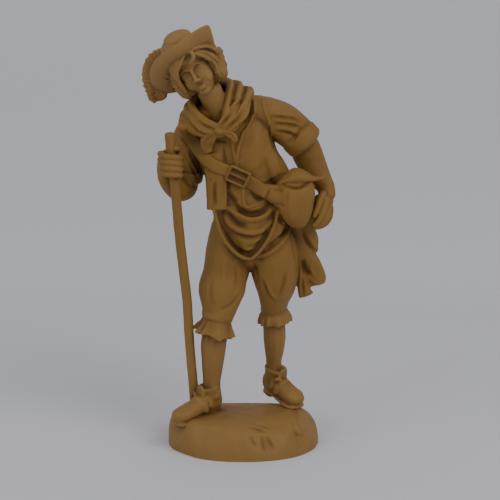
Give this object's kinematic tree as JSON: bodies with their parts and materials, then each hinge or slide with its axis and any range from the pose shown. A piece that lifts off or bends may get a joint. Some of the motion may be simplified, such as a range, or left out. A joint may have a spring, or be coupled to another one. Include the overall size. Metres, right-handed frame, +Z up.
{
  "type": "carved wooden wanderer figurine",
  "caption": "Standing carved wood figurine of a wanderer with hat, feather, shoulder bag and long staff on an oval mound.",
  "frame": {"origin": "centre of the mound's flat underside, on the surface that the figurine stands on", "axes": "+Z up along the figure, -Y the way the figure faces, +X towards the figure's left hand and bag"},
  "size_m": [0.091, 0.0624, 0.2023],
  "materials": {
    "wood": "bare pale limewood, lightly waxed, satin"
  },
  "bodies": {
    "root": {"wanderer_figurine": "wood"}
  },
  "joints": []
}
